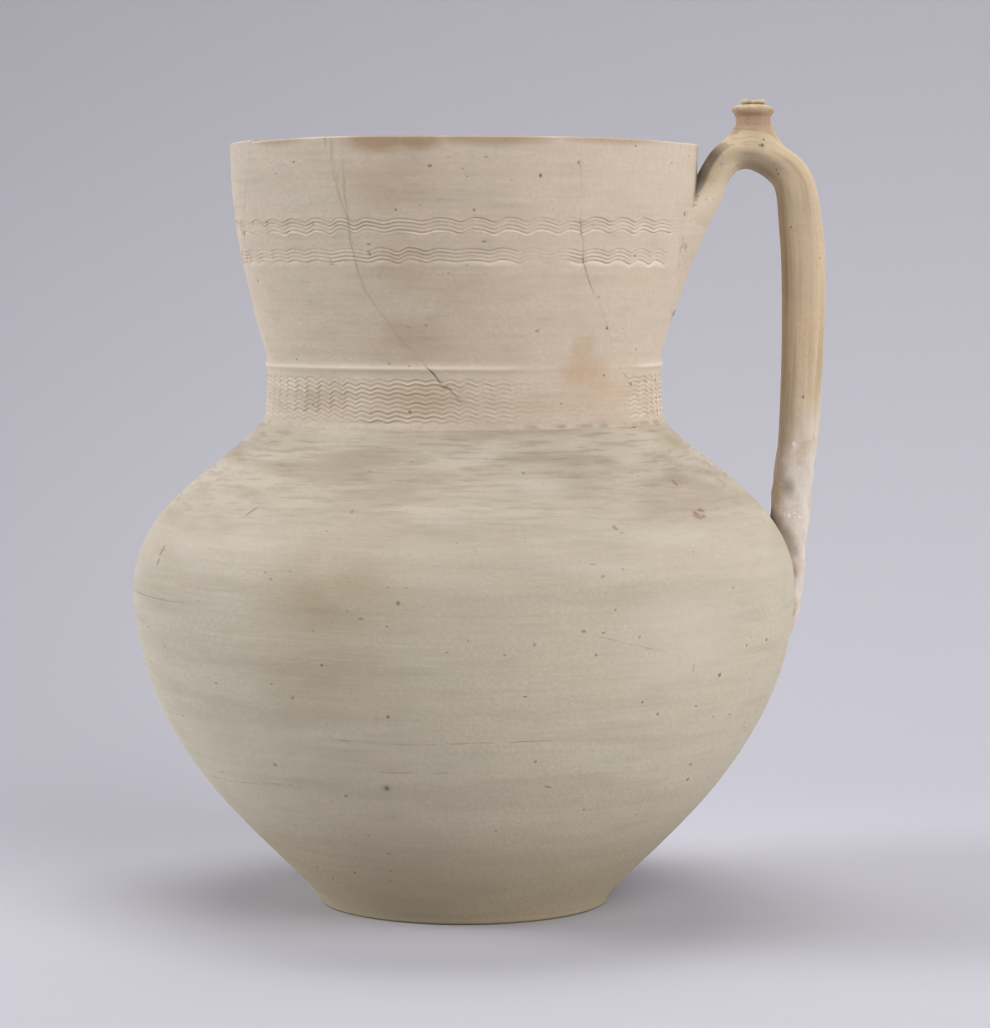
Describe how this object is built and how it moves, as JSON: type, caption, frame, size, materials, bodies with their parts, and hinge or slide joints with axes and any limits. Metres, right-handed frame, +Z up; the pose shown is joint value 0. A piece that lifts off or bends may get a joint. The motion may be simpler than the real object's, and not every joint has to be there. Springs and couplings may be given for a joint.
{
  "type": "earthenware ewer",
  "caption": "Unglazed round-bellied ewer with a flaring combed neck, small flat base, pulled strap handle and turned thumb rest; mended, with plaster fills and a restored handle end.",
  "frame": {"origin": "centre of the flat base that the ewer stands on", "axes": "+Z up along the vessel's turning axis, +X towards the handle, -Y towards the front of the picture"},
  "size_m": [0.2072, 0.198, 0.2407],
  "materials": {
    "body_clay": "unglazed, wheel-turned, matt",
    "neck_clay": "unglazed, wheel-turned and combed, matt",
    "handle_clay": "unglazed, pulled and wiped lengthwise, matt",
    "luting_clay": "rough squeezed-out clay, matt",
    "toned_fill": "toned plaster, brushed, matt",
    "pale_plaster": "pale plaster, hand-smoothed, matt"
  },
  "bodies": {
    "root": {"lower_body": "body_clay", "shoulder": "body_clay", "neck_luting": "luting_clay", "neck_left_sherd": "neck_clay", "neck_front_sherd": "neck_clay", "neck_handle_sherd": "neck_clay", "rim_fill": "toned_fill", "collar_fill": "toned_fill", "handle_root_wad": "handle_clay", "handle_strap": "handle_clay", "handle_restored_foot": "pale_plaster", "thumb_rest": "handle_clay", "thumb_rest_wad": "handle_clay"}
  },
  "joints": []
}
